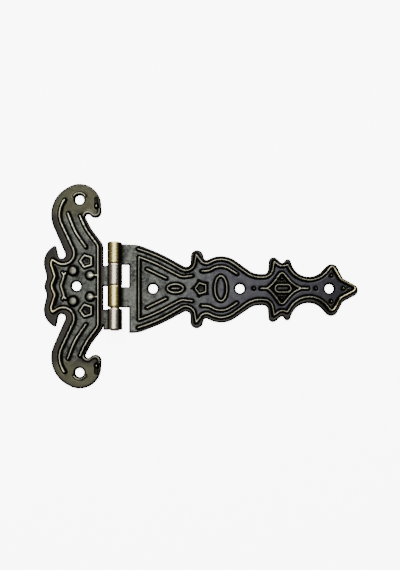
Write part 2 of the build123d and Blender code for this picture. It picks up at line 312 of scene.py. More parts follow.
class FinishSettings(bpy.types.PropertyGroup):
    """Colours of the relieved antique bronze plating and of the pin."""

    field: bpy.props.FloatVectorProperty(
        name="Field", description="Toned field between the ridges",
        default=srgb("#40423d"), size=4, min=0, max=1, subtype="COLOR")
    stain: bpy.props.FloatVectorProperty(
        name="Stain", description="Darker patches of the field",
        default=srgb("#1b1c1b"), size=4, min=0, max=1, subtype="COLOR")
    speck: bpy.props.FloatVectorProperty(
        name="Speck", description="Lighter specks of the field",
        default=srgb("#6d6f66"), size=4, min=0, max=1, subtype="COLOR")
    # Black oxide in the grooves and hollows; the same colour is painted as shade along the cut
    # edges and round the holes.
    oxide_and_edge_shade: bpy.props.FloatVectorProperty(
        name="Patina", description="Black oxide left in the grooves",
        default=srgb("#070605"), size=4, min=0, max=1, subtype="COLOR")
    # The rim's colour also paints the shade round the curls.
    rim: bpy.props.FloatVectorProperty(
        name="Rim", description="Dark brown band along the cut edge",
        default=srgb("#262421"), size=4, min=0, max=1, subtype="COLOR")
    curl: bpy.props.FloatVectorProperty(
        name="Curl", description="Olive tone of the smooth curls",
        default=srgb("#383729"), size=4, min=0, max=1, subtype="COLOR")
    cool: bpy.props.FloatVectorProperty(
        name="Cool tone", description="Violet grey towards the strap's tip",
        default=srgb("#29282e"), size=4, min=0, max=1, subtype="COLOR")
    # The knuckles' own dark brown, which on their sides is partly painted shade beside the painted
    # highlight on top.
    roll: bpy.props.FloatVectorProperty(
        name="Roll", description="Dark brown sides of the knuckles",
        default=srgb("#2b2319"), size=4, min=0, max=1, subtype="COLOR")
    bright: bpy.props.FloatVectorProperty(
        name="Bright", description="Brass on the crests of the far ends",
        default=srgb("#cdc493"), size=4, min=0, max=1, subtype="COLOR")
    strap_crest: bpy.props.FloatVectorProperty(
        name="Strap crest", description="Brass on the strap's crests",
        default=srgb("#706f61"), size=4, min=0, max=1, subtype="COLOR")
    cross_crest: bpy.props.FloatVectorProperty(
        name="Cross plate crest", description="Brass on the cross plate's crests",
        default=srgb("#aeac97"), size=4, min=0, max=1, subtype="COLOR")
    # The knuckles' brass is painted in a strip along their tops: partly wear, partly a painted
    # highlight.
    strap_barrel: bpy.props.FloatVectorProperty(
        name="Strap knuckles", description="Brass worn on the strap's knuckles",
        default=srgb("#b8a86c"), size=4, min=0, max=1, subtype="COLOR")
    cross_barrel: bpy.props.FloatVectorProperty(
        name="Cross plate knuckles", description="Paler brass worn on the cross plate's knuckles",
        default=srgb("#ada292"), size=4, min=0, max=1, subtype="COLOR")
    wire_dark: bpy.props.FloatVectorProperty(
        name="Wire, dark", description="Darker marks along the pin",
        default=srgb("#6f5c38"), size=4, min=0, max=1, subtype="COLOR")
    wire_bright: bpy.props.FloatVectorProperty(
        name="Wire, bright", description="Brass between the marks along the pin",
        default=srgb("#b39c6a"), size=4, min=0, max=1, subtype="COLOR")


class StageSettings(bpy.types.PropertyGroup):
    """Camera, lamps and floor."""

    camera_height: bpy.props.FloatProperty(
        name="Camera height",
        description="Height of the camera above the leaves",
        default=185 * MM, subtype="DISTANCE", unit="LENGTH")
    lamp_power: bpy.props.FloatProperty(
        name="Lamp power",
        description="Power in watts that each lamp takes its share of",
        default=5.0, unit="POWER")
    backlight: bpy.props.FloatProperty(
        name="Backlight",
        description="Strength of the floor's own light and of the backdrop to the camera",
        default=7.0, min=0)
    room_light: bpy.props.FloatProperty(
        name="Room light",
        description="Strength of the backdrop's light on the metal",
        default=0.15, min=0)
    floor_size: bpy.props.FloatProperty(
        name="Floor size",
        description="Side of the square floor",
        default=4.0, subtype="DISTANCE", unit="LENGTH")


# Lines of the drawing.

def lower(places):
    """The mirror image of an upper half, in the order that carries on clockwise."""
    return [(place[0], -place[1], *place[2:]) for place in reversed(places)]


def star(x, y, radius):
    """A five-sided ring that points along -X, with sharp corners."""
    corners = [pi - k * 2 * pi / 5 for k in range(6)]
    return [(x + radius * cos(a), y + radius * sin(a), 0) for a in corners]


def oval(x, half_length, half_height):
    """A long ring with round ends, closed at the middle of its upper side."""
    reach = half_length - half_height
    seam = (x, half_height, 0)
    return [seam, (x + reach, 0, half_height), (x - reach, 0, half_height), seam]


def ellipse(x, half_length, half_height, step):
    """Points round an ellipse on the centre line, closed."""
    count = ceil(2 * pi * max(half_length, half_height) / step)
    turns = np.linspace(0, 2 * pi, count)
    return np.column_stack((x + half_length * np.cos(turns), half_height * np.sin(turns)))


def belt(rounds, step, closed=False):
    """Points along the line that passes the rounds, as tangent runs and arcs."""
    arrive, leave = tangent_points(rounds, closed)
    corners = []
    for i, (x, y, r) in enumerate(rounds):
        if r == 0:
            corners.append((x, y))
            continue
        start = atan2(arrive[i][1] - y, arrive[i][0] - x)
        end = atan2(leave[i][1] - y, leave[i][0] - x)
        turn = (start - end) % (2 * pi) if r > 0 else -((end - start) % (2 * pi))
        pieces = max(1, ceil(abs(r * turn) / step))
        for k in range(pieces + 1):
            angle = start - turn * k / pieces
            corners.append((x + abs(r) * cos(angle), y + abs(r) * sin(angle)))
    return divided(np.array(corners), step, closed)


def tangent_points(rounds, closed):
    """Where the line arrives at each round and where it leaves it."""
    count = len(rounds)
    arrive = [rounds[0][:2]] * count
    leave = [rounds[-1][:2]] * count
    for i in range(count if closed else count - 1):
        xa, ya, ra = rounds[i]
        xb, yb, rb = rounds[(i + 1) % count]
        lean = max(-1, min(1, (ra - rb) / hypot(xb - xa, yb - ya)))
        normal = atan2(yb - ya, xb - xa) + acos(lean)
        leave[i] = (xa + ra * cos(normal), ya + ra * sin(normal))
        arrive[(i + 1) % count] = (xb + rb * cos(normal), yb + rb * sin(normal))
    return arrive, leave


def divided(points, step, closed=False):
    """The same line with its long runs cut into equal steps; a closed line isn't repeated."""
    ends = np.vstack((points, points[:1])) if closed else points
    made = []
    for a, b in zip(ends[:-1], ends[1:]):
        length = np.linalg.norm(b - a)
        if length < SHORT_RUN * step:
            continue
        pieces = max(1, round(length / step))
        made.extend(a + (b - a) * k / pieces for k in range(pieces))
    if not closed:
        made.append(ends[-1])
    return np.array(made)


def circle(x, y, radius, step):
    """Points round a circle, not repeated."""
    count = ceil(2 * pi * radius / step)
    turns = np.arange(count) * 2 * pi / count
    return np.column_stack((x + radius * np.cos(turns), y + radius * np.sin(turns)))


# Meshes of the leaves.

def nearest(points, targets):
    """Distance from each point to the nearest target."""
    tree = KDTree(len(targets))
    for i, (x, y) in enumerate(targets):
        tree.insert((x, y, 0), i)
    tree.balance()
    return np.array([tree.find((x, y, 0))[2] for x, y in points])


def smooth(value, low, high):
    """0 below low, 1 above high, and a smooth step between."""
    t = np.clip((value - low) / (high - low), 0, 1)
    return t * t * (3 - 2 * t)


def fading(value, full, gone):
    """1 below full, 0 above gone, and a smooth step between."""
    return 1 - smooth(value, full, gone)


def bell(distance, width):
    """1 on the line, and soft on both sides."""
    return np.exp(-((distance / width) ** 2))


def inside(points, loop):
    """Whether each point is inside a closed loop."""
    x, y = points[:, 0], points[:, 1]
    crossings = np.zeros(len(points), int)
    for (xa, ya), (xb, yb) in zip(loop, np.roll(loop, -1, axis=0)):
        if ya == yb:
            continue
        spans = (ya > y) != (yb > y)
        crossings += spans & (x < (xb - xa) * (y - ya) / (yb - ya) + xa)
    return crossings % 2 == 1


def lattice(low, high, pitch):
    """Points of a triangular lattice over a box."""
    rows = np.arange(low[1], high[1], pitch * 3**0.5 / 2)
    columns = np.arange(low[0], high[0], pitch)
    x, y = np.meshgrid(columns, rows)
    x[1::2] += pitch / 2
    return np.column_stack((x.ravel(), y.ravel()))


def blank(outline, holes, pitch):
    """The flat blank as points and triangles, with evenly sized triangles."""
    rings = [outline] + [circle(x, y, HOLE_R, pitch) for x, y in holes]
    fixed = np.vstack(rings)
    spots = lattice(outline.min(0), outline.max(0), pitch)
    spots = spots[inside(spots, outline) & off_holes(spots, holes)]
    spots = spots[nearest(spots, fixed) > EDGE_CLEARANCE * pitch]
    edges = []
    first = 0
    for ring in rings:
        count = len(ring)
        edges.extend((first + k, first + (k + 1) % count) for k in range(count))
        first += count
    points = [Vector(p) for p in np.vstack((fixed, spots))]
    only_inside = 1
    tolerance = 1e-5
    made, _, faces, _, _, _ = delaunay_2d_cdt(points, edges, [], only_inside, tolerance)
    points = np.array([tuple(p) for p in made])
    triangles = np.array([tuple(face) for face in faces])
    triangles = triangles[off_holes(points[triangles].mean(1), holes)]
    return points, facing_up(points, triangles)


def off_holes(points, holes):
    """Whether each point is clear of the screw holes."""
    clear = np.full(len(points), True)
    for x, y in holes:
        clear &= np.hypot(points[:, 0] - x, points[:, 1] - y) > HOLE_R
    return clear


def facing_up(points, triangles):
    """The triangles with their corners counterclockwise."""
    a, b, c = points[triangles].transpose(1, 0, 2)
    turn = (b[:, 0] - a[:, 0]) * (c[:, 1] - a[:, 1]) - (b[:, 1] - a[:, 1]) * (c[:, 0] - a[:, 0])
    triangles[turn < 0] = triangles[turn < 0][:, ::-1]
    return triangles


def rolled(x, y, z, side):
    """Roll the tongues up round the pin: the flat's face looks up, and beyond the pin axis
    the sheet follows a circle whose outside is the sheet's back."""
    flat = side * x
    turn = np.clip(-flat, 0, None) / KNUCKLE_R
    reach = KNUCKLE_R - z
    out_x = np.where(flat < 0, -reach * np.sin(turn), flat)
    out_z = np.where(flat < 0, KNUCKLE_R - reach * np.cos(turn), z)
    return side * out_x, y, out_z


def line_relief(points, guides):
    """How much of a crest, a fine crest, a lip and a groove each point has, from 0 to 1, and
    its distance from a ridge."""
    to_ridge = nearest(points, np.vstack(guides["ridge"]))
    to_fine = nearest(points, np.vstack(guides["fine"]))
    lip = np.zeros(len(points))
    if guides["lip"]:
        lip = bell(nearest(points, np.vstack(guides["lip"])), LIP_WIDTH)
    groove = smooth(to_ridge, *GROOVE_START) * fading(to_ridge, *GROOVE_FADE)
    place, width, share = FINE_GROOVE
    groove = np.maximum(groove, share * bell(to_fine - place, width))
    groove = np.maximum(groove, bell(nearest(points, np.vstack(guides["groove"])), GROOVE_WIDTH))
    return fading(to_ridge, *CREST_FADE), fading(to_fine, *FINE_FADE), lip, groove, to_ridge


def pressed(points, guides):
    """Shares of the relief at each point, from 0 to 1, by name."""
    crest, fine, lip, groove, to_ridge = line_relief(points, guides)
    raised = np.maximum(crest, np.maximum(FINE_HEIGHT * fine, LIP_HEIGHT * lip))
    dome = np.zeros(len(points))
    moat, moat_width = MOAT
    for boss_x, boss_y, radius in guides["boss"]:
        away = np.hypot(points[:, 0] - boss_x, points[:, 1] - boss_y)
        dome = np.maximum(dome, np.sqrt(np.clip(1 - (away / radius) ** 2, 0, 1)))
        # Black on the boss's steep lower sides: partly oxide, partly painted shade.
        groove = np.where(away < radius, fading(dome, *DOME_FLANK_OXIDE_AND_SHADE), groove)
        groove = np.maximum(groove, bell(away - radius - moat, moat_width))
        raised = np.where(away < radius, 0, raised)
    hollow = np.zeros(len(points))
    for line, half_width in guides["hollow"]:
        share = fading(nearest(points, line), HOLLOW_FLOOR * half_width, half_width)
        hollow = np.maximum(hollow, share)
    return {
        "raised": raised,
        "dome": dome,
        "groove": groove,
        "hollow": hollow,
        # The lip's brass: partly relieved brass, partly a painted highlight.
        "crest": np.maximum(crest, np.maximum(FINE_WEAR * fine, LIP_WEAR_AND_HIGHLIGHT * lip)),
        "behind": np.clip(bell(to_ridge, BACK_WIDTH) + DOME_BEHIND * dome, 0, 1),
    }


def heights(relief, to_cut, on_leaf, settings):
    """Heights of the face and of the back, in millimetres."""
    level = 1 - relief["raised"]
    ridge = settings.ridge_height / MM
    face = SHEET + ridge * relief["raised"] + DOME_HEIGHT * ridge * relief["dome"]
    face -= settings.groove_depth / MM * relief["groove"] * level * (relief["dome"] == 0)
    face -= HOLLOW_DEPTH * relief["hollow"] * level
    face -= settings.edge_drop / MM * fading(to_cut, 0, EDGE_ROUND) ** 2 * on_leaf
    face -= TONGUE_DROP * fading(to_cut, 0, TONGUE_ROUND) * (1 - on_leaf)
    back = settings.back_hollow / MM * relief["behind"]
    back += BACK_DROP * fading(to_cut, 0, BACK_ROUND)
    return face, back


def toned(points, guides, from_axis, to_outline):
    """How much of the rim's tone, with the painted shade round a curl's outline, and of the curl's
    tone each point has.
    """
    from_middle = np.abs(points[:, 1])
    curl_start = guides["curl_start"]
    before, past = CURL_BLEND
    rim = 1 - inside(points, guides["border"])
    rim = rim * smooth(from_axis, guides["rim_start"], guides["rim_start"] + RIM_BLEND)
    rim *= fading(from_middle, curl_start, curl_start + past)
    curl = smooth(from_middle, curl_start - before, curl_start + past)
    # Painted shade round the curl's outline.
    rim = np.maximum(rim, CURL_SHADE_STRENGTH * curl * fading(to_outline, *CURL_SHADE_BAND))
    for loop in guides["toned"]:
        rim = np.maximum(rim, inside(points, loop) * smooth(nearest(points, loop), 0, LOOP_BLEND))
    return rim, curl


def sheet_mesh(name, corners, triangles):
    """Close a face and a back that share their triangles with walls round their edges."""
    count = len(corners) // 2
    pairs = np.vstack((triangles[:, [0, 1]], triangles[:, [1, 2]], triangles[:, [2, 0]]))
    met = set(map(tuple, pairs))
    walls = [(b, a, a + count, b + count) for a, b in met if (b, a) not in met]
    faces = triangles.tolist() + (triangles[:, ::-1] + count).tolist() + walls
    mesh = bpy.data.meshes.new(name)
    mesh.from_pydata(corners.tolist(), [], faces)
    return mesh


def hole_distance(points, holes):
    """Distance from each point to the edge of the nearest screw hole."""
    found = np.full(len(points), np.inf)
    for x, y in holes:
        from_middle = np.hypot(points[:, 0] - x, points[:, 1] - y)
        found = np.minimum(found, np.abs(from_middle - HOLE_R))
    return found


def write_layers(mesh, shares):
    """Store the shares in the mesh. The back has only those of the knuckles."""
    for layer in LAYERS:
        face = shares[layer]
        back = face if layer in ("barrel", "roll") else np.zeros(len(face))
        attribute = mesh.attributes.new(layer, "FLOAT", "POINT")
        attribute.data.foreach_set("value", np.concatenate((face, back)).astype(np.float32))


def placed(name, mesh):
    """An object for the mesh, with its sharp edges kept sharp."""
    mesh.validate()
    made = bpy.data.objects.new(name, mesh)
    bpy.context.scene.collection.objects.link(made)
    bpy.ops.object.select_all(action="DESELECT")
    made.select_set(True)
    bpy.context.view_layer.objects.active = made
    bpy.ops.object.shade_smooth_by_angle(angle=radians(50))
    return made


def leaf_object(name, outline, holes, guides, side, settings):
    """Press a leaf: cut the blank, raise its ridges, hollow its back and roll its knuckles."""
    points, triangles = blank(outline, holes, settings.mesh_pitch / MM)
    x, y = points.transpose()
    from_axis = side * x
    to_outline = nearest(points, divided(outline, OUTLINE_STEP, closed=True))
    to_hole = hole_distance(points, holes)
    relief = pressed(points, guides)
    on_leaf = smooth(from_axis, PLATE_EDGE - ROUND_BLEND, PLATE_EDGE)
    face, back = heights(relief, np.minimum(to_outline, to_hole), on_leaf, settings)
    sheet = rolled(np.tile(x, 2), np.tile(y, 2), np.concatenate((face, back)), side)
    mesh = sheet_mesh(name, np.column_stack(sheet) * MM, triangles)

    level = 1 - relief["raised"]
    rim, curl = toned(points, guides, from_axis, to_outline)
    roll = fading(from_axis, *KNUCKLE_FADE)
    outer_x, _, outer_z = np.array(sheet)[:, len(points):]
    write_layers(mesh, {
        "crest": relief["crest"],
        "groove": relief["groove"] * level,
        "hollow": relief["hollow"] * level,
        "dome": relief["dome"],
        "rim": rim,
        "curl": curl,
        # Painted shade along the outline and round each hole.
        "edge": np.maximum(fading(to_outline, *EDGE_SHADE_LINE), fading(to_hole, *HOLE_SHADE_RING)),
        "roll": roll,
        # Bright strip along the top of each knuckle: partly wear, partly a painted highlight.
        "barrel": roll * fading(np.abs(outer_x), *WORN_AND_LIT_STRIP) * (outer_z > PIN_Z),
    })
    return placed(name, mesh)


# Materials.

def add_node(tree, kind, inputs=None, **settings):
    """Add a node with its settings; an input is a constant or another node's socket."""
    node = tree.nodes.new(kind)
    for key, value in settings.items():
        setattr(node, key, value)
    for key, value in (inputs or {}).items():
        if isinstance(value, bpy.types.NodeSocket):
            tree.links.new(value, node.inputs[key])
        else:
            node.inputs[key].default_value = value
    return node


def fresh_material(name):
    """A new material with an empty node tree."""
    material = bpy.data.materials.new(name)
    material.use_nodes = True
    material.node_tree.nodes.clear()
    return material, material.node_tree


# Patterns of the plating: size in millimetres, detail and roughness. Clouds are where the
# toning took unevenly, and patches are where the crests were relieved more or less. The real
# plating's grain is too fine to show, so it is drawn 0.5 mm coarse.
BRONZE_PATTERNS = {
    "clouds": (3.03, 5, 0.6),
    "grain": (0.5, 3, 0.6),
    "patches": (15.4, 2, 0.5),
}

# Smooth steps: what is read, where the step starts and ends, and its values there.
BRONZE_STEPS = {
    "clouded": ("clouds", 0.35, 0.65, 0, 1),
    "specked": ("grain", 0.52, 0.72, 0, 0.6),
    "on_curl": ("curl", 0, 1, 0, 0.8),
    "cooled": ("along", 0, 70 * MM, 0, 0.8),
    # Crest brass on a boss's top: partly relieved brass, partly a painted highlight.
    "on_dome": ("dome", 0.5, 1, 0, 0.2),
    "in_groove": ("groove", 0.15, 0.75, 0, 1),
    "in_hollow": ("hollow", 0.1, 0.9, 0, 0.85),
    "on_crest": ("crest", 0.5, 1, 0, 1),
    "relieved": ("patches", 0.35, 0.65, 0.55, 1),
    "at_tip": ("along", 96 * MM, 112 * MM, 0, 1),
    "at_far_edge": ("along", -30 * MM, -24 * MM, 1, 0),
    "on_barrel": ("barrel", 0, 0.9, 0, 1),
    # Roughness, and what is added to it.
    "dulled": ("groove", 0.1, 0.8, 0.40, 0.62),
    "polished": ("crest", 0.3, 0.9, 0, -0.10),
    "grained": ("grain", 0.3, 0.7, -0.05, 0.05),
    "burnished": ("roll", 0.4, 1, 0, -0.12),
}


def bronze_shares(tree, place):
    """Sockets of the leaf's own layers, of the patterns and of the steps, by name."""
    shares = {"along": add_node(tree, "ShaderNodeSeparateXYZ", {"Vector": place}).outputs["X"]}
    for layer in LAYERS:
        node = add_node(tree, "ShaderNodeAttribute", attribute_name=layer)
        shares[layer] = node.outputs["Fac"]
    for pattern, (size, detail, roughness) in BRONZE_PATTERNS.items():
        node = add_node(tree, "ShaderNodeTexNoise",
                        {"Vector": place, "Scale": 1 / (size * MM), "Detail": detail,
                         "Roughness": roughness})
        shares[pattern] = node.outputs[0]
    for step, (source, start, end, at_start, at_end) in BRONZE_STEPS.items():
        node = add_node(tree, "ShaderNodeMapRange",
                        {0: shares[source], 1: start, 2: end, 3: at_start, 4: at_end},
                        interpolation_type="SMOOTHSTEP")
        shares[step] = node.outputs[0]
    return shares


def bronze_colour(tree, shares, crest_tone, barrel_tone, finish):
    """The plating's colour, with its painted shade and highlights: its coats, each laid over the
    ones before.
    """
    crest_share = add_node(tree, "ShaderNodeMath",
                           {0: shares["on_crest"], 1: shares["relieved"]}, operation="MULTIPLY")
    # The crests are brightest at the far ends of both leaves.
    far_end_share = add_node(tree, "ShaderNodeMath",
                       {0: shares["at_tip"], 1: shares["at_far_edge"]}, operation="MAXIMUM")
    crest = add_node(tree, "ShaderNodeMix",
                     {0: far_end_share.outputs[0], 6: crest_tone, 7: finish.bright}, data_type="RGBA")
    coats = (
        (shares["clouded"], finish.field),
        (shares["specked"], finish.speck),
        (shares["on_curl"], finish.curl),
        (shares["cooled"], finish.cool),
        (shares["rim"], finish.rim),
        # A boss's top: partly relieved brass, partly a painted highlight.
        (shares["on_dome"], crest_tone),
        (shares["in_groove"], finish.oxide_and_edge_shade),
        (shares["in_hollow"], finish.oxide_and_edge_shade),
        # Painted shade along the cut edges and round the holes, in the oxide's colour.
        (shares["edge"], finish.oxide_and_edge_shade),
        (crest_share.outputs[0], crest.outputs[2]),
        # Dark brown knuckles, partly painted shade on their sides, with a bright strip along the
        # top, partly a painted highlight.
        (shares["roll"], finish.roll),
        (shares["on_barrel"], barrel_tone),
    )
    colour = finish.stain
    for share, coat in coats:
        node = add_node(tree, "ShaderNodeMix", {0: share, 6: colour, 7: coat}, data_type="RGBA")
        colour = node.outputs[2]
    return colour


def antique_bronze(name, crest_tone, barrel_tone, finish):
    """Bronze-plated steel, blackened and then relieved: bright brass on the crests, black
    oxide in the grooves, and a mottled grey-green tone on the field."""
    material, tree = fresh_material(name)
    place = add_node(tree, "ShaderNodeTexCoord").outputs["Object"]
    shares = bronze_shares(tree, place)
    roughness = shares["dulled"]
    for change in ("polished", "grained", "burnished"):
        node = add_node(tree, "ShaderNodeMath", {0: roughness, 1: shares[change]},
                        operation="ADD")
        roughness = node.outputs[0]
    bumps = add_node(tree, "ShaderNodeBump",
                     {"Height": shares["grain"], "Strength": 0.15, "Distance": 0.06 * MM})
    shader = add_node(tree, "ShaderNodeBsdfPrincipled",
                      {"Base Color": bronze_colour(tree, shares, crest_tone, barrel_tone, finish),
                       "Metallic": 1.0, "Roughness": roughness, "Normal": bumps.outputs[0]})
    add_node(tree, "ShaderNodeOutputMaterial", {"Surface": shader.outputs[0]})
    return material


def drawn_brass(name, finish):
    """Brass-plated drawn steel wire: a satin metal with fine marks along it, 0.2 mm apart."""
    material, tree = fresh_material(name)
    place = add_node(tree, "ShaderNodeTexCoord").outputs["Object"]
    stretch = 20
    along = add_node(tree, "ShaderNodeMapping", {"Vector": place, "Scale": (1, 1 / stretch, 1)})
    marks = add_node(tree, "ShaderNodeTexNoise",
                     {"Vector": along.outputs[0], "Scale": 1 / (0.2 * MM), "Detail": 2}).outputs[0]
    colour = add_node(tree, "ShaderNodeMix",
                      {0: marks, 6: finish.wire_dark, 7: finish.wire_bright}, data_type="RGBA")
    roughness = add_node(tree, "ShaderNodeMapRange", {0: marks, 1: 0.3, 2: 0.7, 3: 0.28, 4: 0.4},
                         interpolation_type="SMOOTHSTEP")
    shader = add_node(tree, "ShaderNodeBsdfPrincipled",
                      {"Base Color": colour.outputs[2], "Metallic": 1.0,
                       "Roughness": roughness.outputs[0]})
    add_node(tree, "ShaderNodeOutputMaterial", {"Surface": shader.outputs[0]})
    return material


def backlit_acrylic(name, glow):
    """Matt white acrylic with a light behind it: an even white, with a faint 1 mm texture."""
    material, tree = fresh_material(name)
    place = add_node(tree, "ShaderNodeTexCoord").outputs["Object"]
    texture = add_node(tree, "ShaderNodeTexNoise", {"Vector": place, "Scale": 1 / (1.11 * MM)})
    colour = add_node(tree, "ShaderNodeMix",
                      {0: texture.outputs[0], 6: srgb("#fafafa"), 7: srgb("#ffffff")},
                      data_type="RGBA")
    shader = add_node(tree, "ShaderNodeBsdfPrincipled",
                      {"Base Color": colour.outputs[2], "Roughness": 0.9,
                       "Emission Color": srgb("#ffffff"), "Emission Strength": glow})
    add_node(tree, "ShaderNodeOutputMaterial", {"Surface": shader.outputs[0]})
    return material


# Pieces.

def sized_for_strap(places):
    """Scale drawn places to the strap."""
    return [(PLATE_EDGE + (place[0] - DRAWN_EDGE) * STRAP_SCALE,
             *[value * STRAP_SCALE for value in place[1:]]) for place in places]


def sized_for_cross(places):
    """Scale drawn places to the cross plate and move them to its centre line."""
    return [(-PLATE_EDGE + (place[0] + DRAWN_EDGE) * CROSS_SCALE,
             place[1] * CROSS_SCALE + CROSS_OFFSET,
             *[value * CROSS_SCALE for value in place[2:]]) for place in places]


def turned(rounds, angle):
    """Turn a shape about the origin."""
    c = cos(radians(angle))
    s = sin(radians(angle))
    return [(x * c - y * s, x * s + y * c, r) for x, y, r in rounds]


def trimmed(points, side):
    """The part of a closed loop beyond the leaf's flat edge, starting there."""
    beyond = side * points[:, 0] > CUT_EDGE
    start = next(i for i in range(len(points)) if beyond[i] and not beyond[i - 1])
    points = np.roll(points, -start, axis=0)
    beyond = np.roll(beyond, -start)
    return points[beyond]


def with_tongues(points, spans, side, step):
    """Close a leaf's outline along its flat edge with the flat tongues of its knuckles."""
    edge = side * CUT_EDGE
    end = -side * ROLL_LENGTH
    spans = sorted(spans, reverse=side < 0)
    corners = [(edge, points[-1][1])]
    for low, high in spans:
        near, far = (low, high) if side > 0 else (high, low)
        corners += [(edge, near), (end, near), (end, far), (edge, far)]
    corners.append((edge, points[0][1]))
    loop = [corners[0]]
    for corner in corners[1:]:
        if hypot(corner[0] - loop[-1][0], corner[1] - loop[-1][1]) > SHORT_EDGE * step:
            loop.append(corner)
    return np.vstack((points, divided(np.array(loop), step)))


def strap_guides():
    """Guide lines of the strap's pressing, by what is pressed along them."""
    def line(rounds):
        return belt(sized_for_strap(rounds), GUIDE_STEP)

    ridge = [line(STRAP_BORDER + lower(STRAP_BORDER[:-1])), line(lower(STRAP_FRAME) + STRAP_FRAME)]
    for upper in (SIDE_BAR, BELLY_RIDGE, DIAMOND):
        ridge += [line(upper), line(lower(upper))]
    ridge += [line(tail) for tail in DIAMOND_TAILS]
    for x, half_length, half_height in (SMALL_OVAL, TALL_OVAL):
        centre, half_length = sized_for_strap([(x, half_length)])[0]
        ridge.append(ellipse(centre, half_length, half_height * STRAP_SCALE, GUIDE_STEP))
    ridge += [line(oval(*SLIM_OVAL)), line(star(*STRAP_STAR))]
    dots = STRAP_DOTS + STRAP_DOT_PAIRS + lower(STRAP_DOT_PAIRS)
    ridge.append(np.array(sized_for_strap(dots)))
    fine = [line([(end, 0, 0) for end in STRAP_DASH])]
    fine.append(np.array(sized_for_strap(SMALL_DOTS + lower(SMALL_DOTS))))
    groove = [line(STAR_GROOVE + lower(STAR_GROOVE[1:-1]) + STAR_GROOVE[:1])]
    diamond = np.vstack((line(DIAMOND), line(lower(DIAMOND))))
    return {
        "ridge": ridge,
        "fine": fine,
        "groove": groove,
        "lip": [],
        "boss": [],
        "hollow": [(np.array(sized_for_strap([STRAP_STAR[:2]])), STAR_HALF_WIDTH)],
        "toned": [diamond, line(TIP_LOBE), line(SIDE_LOBE), line(lower(SIDE_LOBE))],
        "border": ridge[0],
        "rim_start": STRAP_BORDER[0][0] - RIM_BLEND,
        "curl_start": NO_CURLS,
    }


def cross_guides():
    """Guide lines of the cross plate's pressing, by what is pressed along them."""
    def line(rounds):
        return belt(sized_for_cross(rounds), GUIDE_STEP)

    ridge = [
        line(lower(CROSS_BORDER[1:]) + CROSS_BORDER),
        line(INNER_BORDER + lower(INNER_BORDER)),
        line(lower(WAVE_RIDGE[1:]) + WAVE_RIDGE),
        line(WAVE_FORK),
        line(lower(WAVE_FORK)),
    ]
    fine = []
    lip = []
    boss = []
    hollow = []
    neck = [(*INNER_BOSS[:2], 0), (BOSS_NECK_END, INNER_BOSS[1], 0)]
    for half in (list, lower):
        ridge += [line(half(ARM_RIDGE)), line(half(star(*CROSS_STAR))), line(half(neck))]
        ridge.append(line(half(EYE_NUB)))
        fine.append(line(half(HOLE_ARC)))
        lip += [line(half(CURL_LIP)), line(half(neck))]
        boss += sized_for_cross(half([OUTER_BOSS, INNER_BOSS]))
        hollow.append((line(half(EYE_HOLLOW)), EYE_HALF_WIDTH))
        star_middle = np.array(sized_for_cross(half([CROSS_STAR[:2]])))
        hollow.append((star_middle, STAR_HALF_WIDTH))
    return {
        "ridge": ridge,
        "fine": fine,
        "groove": [line(lower(WAVE_GROOVE[1:]) + WAVE_GROOVE)],
        "lip": lip,
        "boss": boss,
        "hollow": hollow,
        "toned": [],
        "border": np.vstack(ridge[:2]),
        "rim_start": PLATE_EDGE - RIM_BLEND,
        "curl_start": CROSS_CURLS,
    }


class HINGE_OT_strap_leaf(bpy.types.Operator):
    """Press and roll the strap leaf"""

    bl_idname = "hinge.strap_leaf"
    bl_label = "Strap Leaf"

    def execute(self, context):
        settings = context.scene.hinge_leaf
        step = settings.mesh_pitch / MM
        whole = sized_for_strap(STRAP_OUTLINE + lower(STRAP_OUTLINE[:-1]))
        outline = trimmed(belt(turned(whole, BLANK_SKEW), step, closed=True), 1)
        outline = with_tongues(outline, KNUCKLE_SPANS[0::2], 1, step)
        holes = sized_for_strap(STRAP_HOLES)
        leaf = leaf_object("strap_leaf_pressing", outline, holes, strap_guides(), 1, settings)
        finish = context.scene.hinge_finish
        leaf.data.materials.append(antique_bronze(
            "antique_bronze_strap", finish.strap_crest, finish.strap_barrel, finish))
        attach(leaf, "strap")
        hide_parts("strap_leaf")
        return {"FINISHED"}


class HINGE_OT_cross_plate(bpy.types.Operator):
    """Press and roll the cross plate"""

    bl_idname = "hinge.cross_plate"
    bl_label = "Cross Plate"

    def execute(self, context):
        settings = context.scene.hinge_leaf
        step = settings.mesh_pitch / MM
        whole = sized_for_cross(CROSS_OUTLINE + lower(CROSS_OUTLINE[1:]))
        outline = trimmed(belt(whole, step, closed=True), -1)
        outline = with_tongues(outline, KNUCKLE_SPANS[1::2], -1, step)
        holes = sized_for_cross(CROSS_HOLES)
        leaf = leaf_object("cross_plate_pressing", outline, holes, cross_guides(), -1, settings)
        finish = context.scene.hinge_finish
        leaf.data.materials.append(antique_bronze(
            "antique_bronze_cross", finish.cross_crest, finish.cross_barrel, finish))
        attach(leaf, "cross_plate")
        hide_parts("cross_plate")
        return {"FINISHED"}


PIN_SIDES = 64
PIN_BEVEL = 0.8 * MM            # rounding of the pin's ends
DIMPLE_BORDER = 0.5 * MM        # flat ring round the shallow dimple in each end
DIMPLE_DEPTH = 0.12 * MM


def select_where(mesh, kind, chosen):
    """In edit mode, select only the edges or faces for which chosen is true."""
    bpy.ops.mesh.select_all(action="DESELECT")
    body = bmesh.from_edit_mesh(mesh)
    for element in getattr(body, kind):
        if chosen(element):
            element.select_set(True)
    bmesh.update_edit_mesh(mesh)


def is_end(face):
    """Whether a face is a flat end of the pin."""
    return len(face.verts) > 4 and abs(face.normal.y) > 0.9


